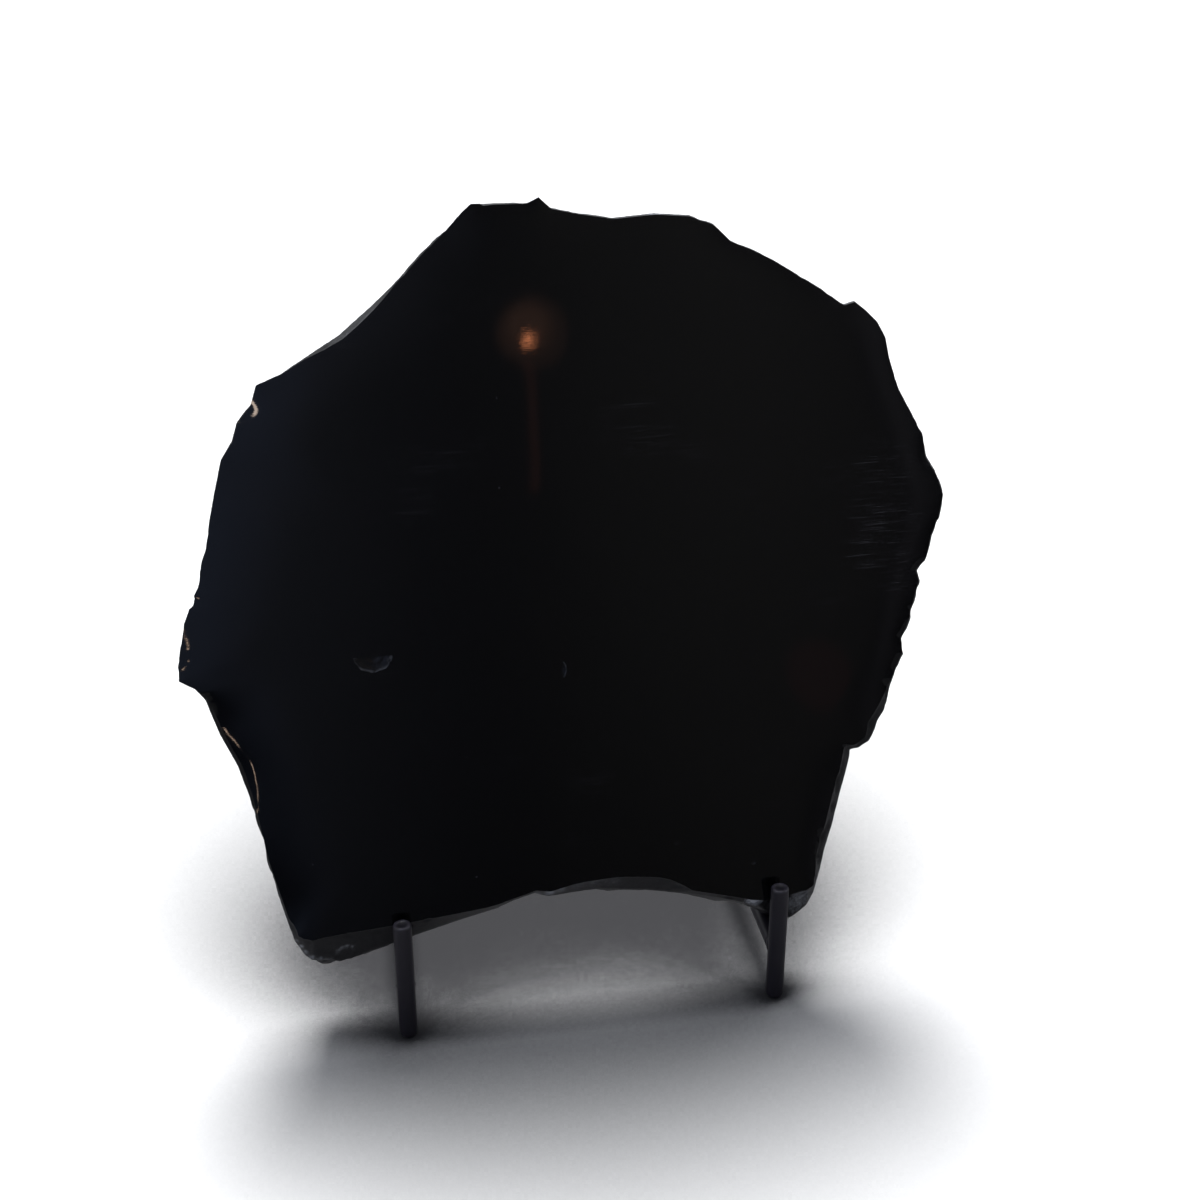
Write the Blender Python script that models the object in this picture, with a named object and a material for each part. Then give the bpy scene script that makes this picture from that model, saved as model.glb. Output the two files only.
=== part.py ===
# Obsidian slab with a polished face and a broken edge, leaning on a stand of round rods.
# Metres, +Z up, the face towards -Y. The origin is under the middle of the whole, on the floor.

import math

import bmesh
import bpy
from mathutils import Matrix, Vector

MM = 0.001
GAP = 0.3

# Driving dimensions, in millimetres.
ROD_DIAMETER = 6.35
ROD_SIDES = 16
PEG_SPACING = 131.0
PEG_HEIGHT = 46.6
RAIL_HEIGHT = 20.6
REAR_LEG_DEPTH = 98.0
REAR_LEG_HEIGHT = 27.0
BACKREST_TOP = 96.0
BACKREST_BAR = 84.0
LEAN = 20.0
THICKNESS = 24.0
ROUNDED_RIM = 0.7
FOOT_DOME = 1.9
FOOT_FLAT = 1.4

# The slab's own axes: u to the right, v up the face, w from the face into the stone.
# Their origin lies on the face, midway between the pegs.
FACE_HEIGHT = 38.0
FACE_DEPTH = 4.2

# The middle of the whole, so that the origin lies under the middle of its bounding box.
CENTRE_X = 0.44
CENTRE_Y = 52.27

ROD_RADIUS = ROD_DIAMETER / 2
FACE_CENTRE = Vector((0.0, 118.0))
COLUMN_LENGTH = 4.2

# The broken outline, clockwise from the top left corner, in stretches that broke differently.
# A stretch gives its points, how far the face stops inside them, how deep behind the face
# they lie, how far the polished margin rolls over, and how far the back edge steps in.
TOP = [(-27, 245), (-8, 245), (-4, 247), (0, 243), (9, 241), (21, 239), (35, 240), (47, 239), (55, 236)]
TOP_SLOPE = [(61, 230), (68, 227), (74, 224), (82, 219), (93, 212), (100, 207)]
SHOULDER = [(104, 208), (108, 205), (112, 201), (115, 195), (116, 188), (119, 177), (123, 169)]
RIGHT_NOSE = [(127, 161), (128, 153), (132, 146), (134, 139), (132, 131), (129, 125), (127, 117)]
RIGHT_SAW = [(123, 113), (124, 109), (122, 103), (120, 96), (117, 89), (117, 84), (114, 78), (112, 72)]
RIGHT_LEDGE = [(110, 65), (108, 59), (105, 52), (101, 50)]
RIGHT_FOOT = [(97, 50), (95, 43), (92, 34), (89, 24), (86, 16), (84, 9)]
RIGHT_CORNER = [(81, 1), (78, -3), (73, -6), (69, -7)]
UNDER_RIGHT = [(60, -1), (47, 3)]
ARCH = [(36, 6), (21, 9), (3, 11), (-14, 10)]
UNDER_LEFT = [(-19, 11.5), (-32, 8), (-53, 3), (-69, -1), (-80, -4)]
LEFT_CORNER = [(-91, -7), (-96, -7), (-99, -3)]
LEFT_FOOT = [(-102, 2), (-105, 14), (-109, 30), (-111, 42)]
LEFT_FLAKES = [(-113, 52), (-116, 63), (-121, 74), (-125, 86)]
LEFT_NOSE = [(-128, 90), (-133, 93), (-133, 98), (-130, 112), (-127, 119)]
LEFT_EDGE = [(-125, 124), (-124, 129), (-121, 136), (-119, 146), (-117, 154), (-114, 165)]
LEFT_SHOULDER = [(-110, 171), (-108, 177), (-103, 183), (-101, 189)]
LEFT_SLOPE = [(-93, 192), (-85, 197), (-73, 204), (-62, 213), (-54, 220), (-43, 231), (-36, 237)]

STRETCHES = [
    # points, lip, depth, roll, back step
    (TOP, 0.8, 2.5, 0.5, 3.0),
    (TOP_SLOPE, 0.7, 2.5, 0.5, 2.0),
    (SHOULDER, 1.0, 3.5, 0.9, 3.5),
    (RIGHT_NOSE, 1.0, 3.0, 1.5, 2.5),
    (RIGHT_SAW, 1.2, 3.0, 1.5, 3.5),
    (RIGHT_LEDGE, 6.0, 6.0, 0.9, 3.0),
    (RIGHT_FOOT, 4.5, 6.0, 0.6, 2.5),
    (RIGHT_CORNER, 5.0, 6.5, 0.4, 2.0),
    (UNDER_RIGHT, 1.0, 3.0, 0.4, 3.0),
    (ARCH, 3.5, 6.5, 0.3, 2.0),
    (UNDER_LEFT, 4.5, 8.5, 0.4, 3.0),
    (LEFT_CORNER, 8.0, 9.0, 0.4, 3.0),
    (LEFT_FOOT, 1.0, 3.0, 1.2, 2.5),
    (LEFT_FLAKES, 1.6, 3.0, 1.6, 3.5),
    (LEFT_NOSE, 1.2, 3.0, 1.6, 3.0),
    (LEFT_EDGE, 1.0, 3.0, 1.6, 3.0),
    (LEFT_SHOULDER, 1.4, 3.0, 1.6, 3.0),
    (LEFT_SLOPE, 2.4, 5.0, 0.6, 4.0),
]

# The polished face's lower edge, from left to right, as (u, v).
LOWER_LIP = [(-102, 3.5), (-91, 3), (-70, 4.5), (-52, 6), (-32, 8), (-14, 11), (-4, 13.2), (10, 14),
             (24, 12.6), (30, 10.6), (36, 6.5), (47, 3.8), (60, 0.4), (70, 1.4), (80, 4)]

# The underside slopes down towards the back by this share of the depth, as far as the limit, and
# rises again behind it. It is level where it lies on the rails, out to the half width of the seat,
# and its scars are that much calmer. The face stops at least the band's height above it.
UNDERSIDE_FALL = 0.36
UNDERSIDE_LIMIT = 19.0
SEAT_HEIGHT = RAIL_HEIGHT + ROD_DIAMETER / 2 + GAP + 0.1
SEAT_HALF_WIDTH = 72.0
UNDERSIDE_RISE = 0.5
UNDERSIDE_CALM = 0.75
LEAST_BAND = 0.4

# Shell-shaped scars on the flank: place along the rim (share of its length), depth behind the
# face, half length along the rim, half height, and how far the scar bites in. Those past the
# slab's thickness were struck off from the back and scallop its edge.
SCARS = [
    (0.010, 25.0, 27.0, 19.0, 8.0), (0.046, 12.0, 15.0, 8.0, 3.4), (0.080, 26.0, 22.0, 18.0, 8.5),
    (0.112, 12.5, 16.0, 9.0, 3.8), (0.142, 25.0, 21.0, 17.0, 7.5), (0.170, 11.0, 13.0, 7.5, 3.2),
    (0.196, 26.0, 20.0, 18.0, 8.5), (0.228, 13.0, 16.0, 9.5, 4.6), (0.258, 25.0, 18.0, 16.0, 7.5),
    (0.284, 12.0, 13.0, 8.0, 3.4), (0.312, 26.0, 20.0, 19.0, 8.5), (0.340, 11.5, 12.0, 7.0, 3.0),
    (0.366, 24.0, 17.0, 15.0, 7.0), (0.394, 12.0, 14.0, 8.0, 3.2), (0.424, 25.0, 21.0, 18.0, 7.5),
    (0.500, 21.0, 20.0, 12.0, 5.0), (0.545, 13.0, 18.0, 8.0, 5.0), (0.590, 22.0, 19.0, 12.0, 5.0),
    (0.668, 25.0, 18.0, 17.0, 7.0), (0.696, 12.0, 17.0, 9.0, 4.2), (0.726, 26.0, 21.0, 18.0, 8.0),
    (0.754, 11.5, 13.0, 7.5, 3.2), (0.784, 25.0, 20.0, 17.0, 8.5), (0.815, 12.5, 15.0, 8.5, 3.8),
    (0.846, 26.0, 20.0, 18.0, 8.0), (0.875, 12.0, 14.0, 8.0, 3.4), (0.912, 25.0, 28.0, 19.0, 9.0),
    (0.950, 12.0, 17.0, 8.5, 4.0), (0.978, 26.0, 18.0, 17.0, 7.0),
]

# Curved ripples that spread from where the stone was struck: spacing along the rim and height.
RIPPLE_LENGTH = 11.0
RIPPLE_HEIGHT = 0.45

# Half-moon chip in the polished face, flat side up: middle, half width, depth.
MOON_CHIP = (-69.0, 96.5)
MOON_HALF_WIDTH = 6.4
MOON_DROP = 5.2
MOON_DEPTH = 0.9

# Share of the flank's depth at which each ring between the rim and the back edge lies, and
# the share from which the back edge steps in.
FLANK_RINGS = [0.0, 0.12, 0.26, 0.42, 0.58, 0.74, 0.88, 1.0]
STEP_START = 0.72
# How far inside the lip each ring of the polished margin lies, and its share of the roll.
MARGIN_RINGS = [(12.0, 0.0), (6.5, 0.18), (2.8, 0.55), (0.0, 1.0)]
BACK_BEVEL = 2.2


def clear_scene():
    for item in list(bpy.data.objects):
        bpy.data.objects.remove(item, do_unlink=True)


def principled(name, colour, roughness, metallic=0.0):
    material = bpy.data.materials.new(name)
    material.use_nodes = True
    shader = material.node_tree.nodes["Principled BSDF"]
    shader.inputs["Base Color"].default_value = (*colour, 1.0)
    shader.inputs["Roughness"].default_value = roughness
    shader.inputs["Metallic"].default_value = metallic
    return material


def to_world(point):
    """Millimetres in the stand's frame to metres in the part's frame."""
    x, y, z = point
    return Vector(((x - CENTRE_X) * MM, (y - CENTRE_Y) * MM, z * MM))


def face_to_stand(u, v, w):
    """Slab axes to the stand's frame, both in millimetres."""
    lean = math.radians(LEAN)
    y = FACE_DEPTH + v * math.sin(lean) + w * math.cos(lean)
    z = FACE_HEIGHT + v * math.cos(lean) - w * math.sin(lean)
    return (u, y, z)


def seat_line(w):
    """How far up the face's axis the level seat lies, at a depth into the stone."""
    lean = math.radians(LEAN)
    return (SEAT_HEIGHT - FACE_HEIGHT + w * math.sin(lean)) / math.cos(lean)


def interpolate(line, at):
    """Value of a line of (place, value) pairs, held level past its ends."""
    if at <= line[0][0]:
        return line[0][1]
    for (a, low), (b, high) in zip(line, line[1:]):
        if at <= b:
            return low + (high - low) * (at - a) / (b - a)
    return line[-1][1]


def rim_columns():
    """Points round the outline, each with its stretch's lip, depth, roll and back step."""
    corners = []
    for number, (points, *measures) in enumerate(STRETCHES):
        corners += [(Vector(point), number, Vector(measures)) for point in points]
    columns = []
    for index, (start, number, measures) in enumerate(corners):
        end = corners[(index + 1) % len(corners)][0]
        pieces = max(1, round((end - start).length / COLUMN_LENGTH))
        for step in range(pieces):
            columns.append((start.lerp(end, step / pieces), number, measures))
    return columns


def smooth_ring(values, reach):
    """Mean of each value and its neighbours, round a closed ring."""
    count = len(values)
    out = []
    for index in range(count):
        total = values[index] * 1.0
        for offset in range(1, reach + 1):
            total = total + values[(index + offset) % count] + values[index - offset]
        out.append(total / (2 * reach + 1))
    return out


def outward(ring):
    """Unit normals of a clockwise closed ring of 2-D points."""
    count = len(ring)
    normals = []
    for index in range(count):
        along = ring[(index + 1) % count] - ring[index - 1]
        normals.append(Vector((-along.y, along.x)).normalized())
    return normals


def scar_bite(share, depth, length):
    """How far the deepest of the shell-shaped scars bites in at a place on the flank."""
    bite = 0.0
    for place, middle, half_length, half_height, most in SCARS:
        away = abs(share - place)
        away = min(away, 1 - away) * length / half_length
        rise = (depth - middle) / half_height
        bite = max(bite, most * (1 - away * away - rise * rise))
    return bite


def slab_rings():
    """Closed rings of (u, v, w), from the polished face's flat middle round to the back's."""
    columns = rim_columns()
    rim = [point for point, number, measures in columns]
    measures = smooth_ring([values for point, number, values in columns], 2)
    normals = outward(smooth_ring(rim, 3))
    lengths = [0.0]
    for index, point in enumerate(rim):
        lengths.append(lengths[-1] + (rim[(index + 1) % len(rim)] - point).length)
    total = lengths[-1]
    first_under = STRETCHES.index(next(s for s in STRETCHES if s[0] is RIGHT_CORNER))
    last_under = STRETCHES.index(next(s for s in STRETCHES if s[0] is LEFT_CORNER))
    under = [1.0 if first_under <= number <= last_under else 0.0 for point, number, values in columns]
    under = smooth_ring(under, 2)

    lips = []
    for point, normal, values, below in zip(rim, normals, measures, under):
        lip = point - normal * values[0]
        if below > 0:
            on_line = Vector((point.x, max(interpolate(LOWER_LIP, point.x), point.y + LEAST_BAND)))
            lip = lip.lerp(on_line, below)
        lips.append(lip)

    inward = []
    smooth_lips = smooth_ring(lips, 4)
    for point in smooth_lips:
        inward.append((FACE_CENTRE - point).normalized())

    rings = []
    for inset, drop in MARGIN_RINGS:
        share = inset / MARGIN_RINGS[0][0]
        ring = []
        for lip, soft, pull, values in zip(lips, smooth_lips, inward, measures):
            place = lip.lerp(soft, share) + pull * inset
            ring.append((place.x, place.y, values[2] * drop))
        rings.append(ring)

    back_edge = THICKNESS - BACK_BEVEL
    for fraction in FLANK_RINGS:
        ring = []
        for index, point in enumerate(rim):
            lip, depth, roll, step = measures[index]
            w = depth + (back_edge - depth) * fraction
            share = lengths[index] / total
            bite = scar_bite(share, w, total) * min(1.0, fraction * 5)
            ripple = math.sin(2 * math.pi * (lengths[index] / RIPPLE_LENGTH + fraction * 0.8))
            bite += RIPPLE_HEIGHT * ripple * math.sin(math.pi * fraction)
            bite += step * max(0.0, fraction - STEP_START) / (1 - STEP_START)
            place = point - normals[index] * bite * (1 - UNDERSIDE_CALM * under[index])
            fall = UNDERSIDE_FALL * min(w, UNDERSIDE_LIMIT)
            fall -= UNDERSIDE_RISE * max(0.0, w - UNDERSIDE_LIMIT)
            v = place.y - fall * under[index]
            if under[index] > 0 and abs(place.x) < SEAT_HALF_WIDTH:
                v = max(v, seat_line(w))
            ring.append((place.x, v, w))
        rings.append(ring)

    last = rings[-1]
    flat = []
    for (u, v, w) in last:
        pull = (FACE_CENTRE - Vector((u, v))).normalized()
        flat.append((u + pull.x * BACK_BEVEL, v + pull.y * BACK_BEVEL, THICKNESS))
    rings.append(flat)
    return rings


def moon_chip_cutter(material):
    """Thin lens, flat side up, that leaves the half-moon scar in the polished face."""
    mesh = bmesh.new()
    steps = 14
    front = []
    back = []
    for index in range(steps + 1):
        angle = math.pi * index / steps
        u = MOON_CHIP[0] - math.cos(angle) * MOON_HALF_WIDTH
        v = MOON_CHIP[1] - math.sin(angle) * MOON_DROP
        front.append(mesh.verts.new(to_world(face_to_stand(u, v, -0.5))))
    for share, deep in ((0.55, 0.8), (0.2, 1.0)):
        row = []
        for index in range(steps + 1):
            angle = math.pi * index / steps
            u = MOON_CHIP[0] - math.cos(angle) * MOON_HALF_WIDTH * share
            v = MOON_CHIP[1] - 0.9 - math.sin(angle) * (MOON_DROP - 1.4) * share
            row.append(mesh.verts.new(to_world(face_to_stand(u, v, MOON_DEPTH * deep))))
        back.append(row)
    rows = [front] + back
    for outer, inner in zip(rows, rows[1:]):
        for index in range(steps + 1):
            after = (index + 1) % (steps + 1)
            mesh.faces.new((outer[index], outer[after], inner[after], inner[index]))
    mesh.faces.new(list(reversed(front)))
    mesh.faces.new(back[-1])
    bmesh.ops.recalc_face_normals(mesh, faces=mesh.faces)
    data = bpy.data.meshes.new("moon_chip_cutter")
    mesh.to_mesh(data)
    mesh.free()
    data.materials.append(material)
    cutter = bpy.data.objects.new("moon_chip_cutter", data)
    bpy.context.collection.objects.link(cutter)
    cutter.hide_render = True
    cutter.display_type = "WIRE"
    return cutter


def obsidian_slab(material):
    mesh = bmesh.new()
    rings = []
    for ring in slab_rings():
        rings.append([mesh.verts.new(to_world(face_to_stand(*point))) for point in ring])
    count = len(rings[0])
    for upper, lower in zip(rings, rings[1:]):
        for index in range(count):
            after = (index + 1) % count
            mesh.faces.new((upper[index], upper[after], lower[after], lower[index]))
    mesh.faces.new(list(reversed(rings[0])))
    mesh.faces.new(rings[-1])
    bmesh.ops.recalc_face_normals(mesh, faces=mesh.faces)
    bmesh.ops.triangulate(mesh, faces=mesh.faces, ngon_method="BEAUTY")
    data = bpy.data.meshes.new("obsidian_slab")
    mesh.to_mesh(data)
    mesh.free()
    data.materials.append(material)
    slab = bpy.data.objects.new("obsidian_slab", data)
    bpy.context.collection.objects.link(slab)
    chip = slab.modifiers.new("moon_chip", "BOOLEAN")
    chip.operation = "DIFFERENCE"
    chip.solver = "EXACT"
    chip.object = moon_chip_cutter(material)
    return slab


def rod(name, start, end, material, profile=((0.0, 0.0), (0.0, 0.0))):
    """Round bar from start to end. The profile gives each end's (rounding along, flat radius)."""
    begin = Vector(start)
    along = Vector(end) - begin
    (round_a, flat_a), (round_b, flat_b) = profile
    length = along.length
    stations = end_stations(0.0, 1.0, round_a, flat_a)
    stations += reversed(end_stations(length, -1.0, round_b, flat_b))
    mesh = bmesh.new()
    turn = along.to_track_quat("Z", "Y").to_matrix().to_4x4()
    place = Matrix.Translation(begin) @ turn
    rings = []
    for height, radius in stations:
        ring = []
        for side in range(ROD_SIDES):
            angle = 2 * math.pi * (side + 0.5) / ROD_SIDES
            local = Vector((radius * math.cos(angle), radius * math.sin(angle), height))
            ring.append(mesh.verts.new(to_world(place @ local)))
        rings.append(ring)
    for lower, upper in zip(rings, rings[1:]):
        for side in range(ROD_SIDES):
            after = (side + 1) % ROD_SIDES
            mesh.faces.new((lower[side], lower[after], upper[after], upper[side]))
    mesh.faces.new(list(reversed(rings[0])))
    mesh.faces.new(rings[-1])
    bmesh.ops.recalc_face_normals(mesh, faces=mesh.faces)
    data = bpy.data.meshes.new(name)
    mesh.to_mesh(data)
    mesh.free()
    data.materials.append(material)
    data.shade_smooth()
    data.set_sharp_from_angle(angle=math.radians(40))
    bar = bpy.data.objects.new(name, data)
    bpy.context.collection.objects.link(bar)
    return bar


def end_stations(at, towards, rounding, flat):
    """(height, radius) pairs of a bar's end: a quarter round from its flat to the full radius."""
    if rounding == 0:
        return [(at, ROD_RADIUS)]
    stations = []
    steps = 3
    for step in range(steps + 1):
        angle = math.pi / 2 * step / steps
        radius = flat + (ROD_RADIUS - flat) * math.sin(angle)
        stations.append((at + towards * rounding * (1 - math.cos(angle)), radius))
    return stations


def stand(material):
    cut_end = (ROUNDED_RIM, ROD_RADIUS - ROUNDED_RIM)
    foot = (FOOT_DOME, FOOT_FLAT)
    square = (0.0, 0.0)
    reach = ROD_RADIUS + GAP
    for side, x in (("left", -PEG_SPACING / 2), ("right", PEG_SPACING / 2)):
        rod(f"front_peg_{side}", (x, 0, 0), (x, 0, PEG_HEIGHT), material, (foot, cut_end))
        rod(f"side_rail_{side}", (x, reach, RAIL_HEIGHT),
            (x, REAR_LEG_DEPTH - reach, RAIL_HEIGHT), material, (square, square))
        rod(f"rear_leg_{side}", (x, REAR_LEG_DEPTH, 0), (x, REAR_LEG_DEPTH, REAR_LEG_HEIGHT),
            material, (foot, cut_end))
        behind = THICKNESS + reach
        lean = math.radians(LEAN)
        lowest = RAIL_HEIGHT + reach + ROD_RADIUS * math.sin(lean)
        start_v = (lowest - FACE_HEIGHT + behind * math.sin(lean)) / math.cos(lean)
        rod(f"backrest_upright_{side}", face_to_stand(x, start_v, behind),
            face_to_stand(x, BACKREST_TOP, behind), material, (square, cut_end))
    inner = PEG_SPACING / 2 - reach
    rod("rear_crossbar", (-inner, REAR_LEG_DEPTH, RAIL_HEIGHT), (inner, REAR_LEG_DEPTH, RAIL_HEIGHT),
        material, (square, square))
    rod("backrest_bar", face_to_stand(-inner, BACKREST_BAR, THICKNESS + reach),
        face_to_stand(inner, BACKREST_BAR, THICKNESS + reach), material, (square, square))


def main():
    clear_scene()
    volcanic_glass = principled("volcanic_glass", (0.004, 0.004, 0.005), 0.06)
    black_steel = principled("powder_coated_steel", (0.010, 0.010, 0.013), 0.38)
    obsidian_slab(volcanic_glass)
    stand(black_steel)


main()
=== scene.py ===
# %% [markdown]
# Obsidian slab on a rod stand: the looks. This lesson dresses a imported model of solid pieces: a
# slab of black volcanic glass, and a stand of round steel bars that it leans on. The model gives
# places and sizes. What is made here is the surface: polish, broken edge, sawn back, powder coat.

# %% Load the frame
import math
import random

import bmesh
import bpy
import numpy as np
from mathutils import Matrix, Vector, noise
from mathutils.bvhtree import BVHTree


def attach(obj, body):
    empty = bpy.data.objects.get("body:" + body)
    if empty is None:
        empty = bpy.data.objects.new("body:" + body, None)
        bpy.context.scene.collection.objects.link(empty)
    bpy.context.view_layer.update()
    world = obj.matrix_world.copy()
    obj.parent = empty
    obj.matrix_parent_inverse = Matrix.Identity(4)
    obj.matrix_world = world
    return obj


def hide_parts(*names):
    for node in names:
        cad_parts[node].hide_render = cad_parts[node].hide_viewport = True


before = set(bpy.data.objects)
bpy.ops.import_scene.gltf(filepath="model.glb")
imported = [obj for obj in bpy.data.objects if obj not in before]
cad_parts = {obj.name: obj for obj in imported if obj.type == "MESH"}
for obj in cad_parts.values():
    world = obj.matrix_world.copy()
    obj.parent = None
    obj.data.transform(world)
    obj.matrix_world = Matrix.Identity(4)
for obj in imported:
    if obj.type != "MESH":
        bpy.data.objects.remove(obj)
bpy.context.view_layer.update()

# %% [markdown]
# All sizes below are in millimetres, as on a drawing, and one number turns them into Blender's
# metres. Colours are written as hex values, the way a colour picker shows them, and one function
# turns them into the linear values that shaders need.

# %% Units and colours
MM = 0.001


def linear(hex_colour):
    """sRGB hex to linear red, green, blue and alpha."""
    channels = [int(hex_colour[i:i + 2], 16) / 255 for i in (1, 3, 5)]
    steps = [c / 12.92 if c <= 0.04045 else ((c + 0.055) / 1.055) ** 2.4 for c in channels]
    return (*steps, 1.0)


def add_object(name, data):
    """New object in the scene, with its mesh, camera or light."""
    made = bpy.data.objects.new(name, data)
    bpy.context.scene.collection.objects.link(made)
    return made


print("mid grey, linear:", round(linear("#808080")[0], 3))

# %% [markdown]
# The stand is the one thing here with exact shapes, so it carries the measurements. Each bar in
# the model is a straight many-sided rod, a quarter of an inch thick. Its axis and ends could be
# typed in again, but then two files would have to agree. Reading them off the bar's own corners
# can't go wrong: the axis is the direction in which the corners spread most.

# %% Measure the bars of the stand
ROD_RADIUS = 3.175
UP_AND_BACK = np.array([0.3, 0.5, 1.0])
BAR_NODES = sorted(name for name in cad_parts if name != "obsidian_slab")


def bar_axis(node):
    """Start and end of a straight bar, in millimetres, lower or front end first."""
    corners = np.array([v.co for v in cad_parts[node].data.vertices]) / MM
    middle = corners.mean(0)
    along = np.linalg.eigh(np.cov((corners - middle).T))[1][:, 2]
    if along @ UP_AND_BACK < 0:
        along = -along
    places = (corners - middle) @ along
    return Vector(middle + along * places.min()), Vector(middle + along * places.max())


bars = {name: bar_axis(name) for name in BAR_NODES}
for name, (start, end) in bars.items():
    print(f"{name}: {(end - start).length:.1f} mm long")

# %% [markdown]
# The slab leans back, and every step on it is simpler in its own axes: u to the right, v up the
# polished face, w from the face into the stone. The origin of these axes lies on the face,
# midway between the front pegs. These two functions go from one frame to the other.

# %% The slab's own axes
LEAN = math.radians(20.0)
FACE_HEIGHT = 38.0
FACE_DEPTH = 4.2
THICKNESS = 24.0

peg_left = bars["front_peg_left"][0]
peg_right = bars["front_peg_right"][0]
stand_origin = (peg_left + peg_right) / 2
stand_origin.z = 0.0


def slab_to_room(u, v, w):
    """Slab axes to the room's, both in millimetres."""
    y = FACE_DEPTH + v * math.sin(LEAN) + w * math.cos(LEAN)
    z = FACE_HEIGHT + v * math.cos(LEAN) - w * math.sin(LEAN)
    return stand_origin + Vector((u, y, z))


def room_to_slab(point):
    """The room's axes to the slab's, both in millimetres."""
    x, y, z = point - stand_origin
    y -= FACE_DEPTH
    z -= FACE_HEIGHT
    v = y * math.sin(LEAN) + z * math.cos(LEAN)
    w = y * math.cos(LEAN) - z * math.sin(LEAN)
    return Vector((x, v, w))


print("pegs' midpoint in mm:", tuple(round(c, 2) for c in stand_origin))

# %% [markdown]
# The camera stands where a person at a table would: half a metre in front, a little to the left,
# looking down 25 degrees through a normal lens.

# %% Camera
CAMERA_PLACE = Vector((-71.6, -446.2, 372.6))
CAMERA_DOWN = 25.0
CAMERA_TURN = 9.36
LENS = 48.0
SENSOR = 36.0

camera_data = bpy.data.cameras.new("camera")
camera_data.lens = LENS
camera_data.sensor_width = SENSOR
camera_data.clip_start = 0.01
camera_data.clip_end = 100.0
camera = add_object("camera", camera_data)
camera.location = (stand_origin + CAMERA_PLACE) * MM
camera.rotation_euler = (math.radians(90 - CAMERA_DOWN), 0.0, math.radians(-CAMERA_TURN))
bpy.context.scene.camera = camera
print("camera", tuple(round(c, 3) for c in camera.location))

# %% [markdown]
# Reading the rough slab. The model's slab has the true outline and the large scars of the broken
# flank, in facets of about 4 mm. For a finer skin it is first sliced a few millimetres behind the
# face. The cut is the outline, and points placed evenly along it become the skin's columns.

# %% Slice the model's slab
SLICE_DEPTH = 4.0
COLUMNS = 1150

slab_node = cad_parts["obsidian_slab"]
rough_points = [room_to_slab(v.co / MM) for v in slab_node.data.vertices]
rough_faces = [tuple(p.vertices) for p in slab_node.data.polygons]
rough_slab = BVHTree.FromPolygons(rough_points, rough_faces)


def slice_outline(depth):
    """Corners of the slab's outline at a depth behind the face, clockwise from its top."""
    mesh = bmesh.new()
    made = [mesh.verts.new(point) for point in rough_points]
    for face in rough_faces:
        if mesh.faces.get([made[i] for i in face]) is None:
            mesh.faces.new([made[i] for i in face])
    bmesh.ops.remove_doubles(mesh, verts=mesh.verts, dist=0.001)
    everything = list(mesh.verts) + list(mesh.edges) + list(mesh.faces)
    cut = bmesh.ops.bisect_plane(mesh, geom=everything, plane_co=(0, 0, depth), plane_no=(0, 0, 1))
    edges = {item for item in cut["geom_cut"] if isinstance(item, bmesh.types.BMEdge)}
    first = max((v for edge in edges for v in edge.verts), key=lambda vert: vert.co.y)
    loop, vert = [], first
    while edges:
        step = [edge for edge in vert.link_edges if edge in edges]
        if not step:
            break
        if not loop:
            step.sort(key=lambda edge: -edge.other_vert(vert).co.x)
        loop.append(Vector((vert.co.x, vert.co.y)))
        edges.discard(step[0])
        vert = step[0].other_vert(vert)
    mesh.free()
    return loop


def even_points(loop, count):
    """Points at equal distances along a closed loop, and its length."""
    closed = np.array([tuple(p) for p in loop] + [tuple(loop[0])])
    lengths = np.concatenate([[0.0], np.cumsum(np.linalg.norm(np.diff(closed, axis=0), axis=1))])
    wanted = np.linspace(0.0, lengths[-1], count, endpoint=False)
    x = np.interp(wanted, lengths, closed[:, 0])
    y = np.interp(wanted, lengths, closed[:, 1])
    return np.stack([x, y], axis=1), lengths[-1]


outline, perimeter = even_points(slice_outline(SLICE_DEPTH), COLUMNS)
arc = perimeter * np.arange(COLUMNS) / COLUMNS
print(f"outline is {perimeter:.0f} mm round, one column every {perimeter / COLUMNS:.2f} mm")

# %% [markdown]
# Each column also needs a direction that points out of the stone. It comes from a smoothed
# outline, so that neighbours don't cross in the nooks. A ray sent inwards along it, at any depth,
# tells how far the flank stands outside or inside the outline there.

# %% Directions and rays
DIRECTION_REACH = 9
RAY_START = 14.0
RAY_LENGTH = 35.0


def smooth_round(values, reach):
    """Mean over the neighbours on a closed ring."""
    total = sum(np.roll(values, shift, axis=0) for shift in range(-reach, reach + 1))
    return total / (2 * reach + 1)


calm_outline = smooth_round(smooth_round(outline, DIRECTION_REACH), DIRECTION_REACH)
along = np.roll(calm_outline, -1, axis=0) - np.roll(calm_outline, 1, axis=0)
along /= np.linalg.norm(along, axis=1)[:, None]
out = np.stack([-along[:, 1], along[:, 0]], axis=1)


def flank_offset(column, depth):
    """How far the rough flank stands outside the outline, at a column and a depth."""
    start = Vector((*(outline[column] + out[column] * RAY_START), depth))
    place = rough_slab.ray_cast(start, Vector((*-out[column], 0.0)), RAY_LENGTH)[0]
    return -RAY_START if place is None else (np.array(place.xy) - outline[column]) @ out[column]


print("top of the outline:", outline[0].round(1), "pointing", out[0].round(2))

# %% [markdown]
# Where does the polished face end? It first rolls over gently and then breaks off steeply. Going
# down the flank in small steps, the lip is the last place where the surface still runs outwards
# much faster than it goes deeper. Along the bottom the face was broken after it was polished, so
# it stays flat right up to the lip.

# %% Find the lip of the polished face
LIP_STEP = 0.1
LIP_DEEPEST = 2.0
LIP_SLOPE = 2.2
LIP_REACH = 9
FIRST_DEPTH = 0.05

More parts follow.
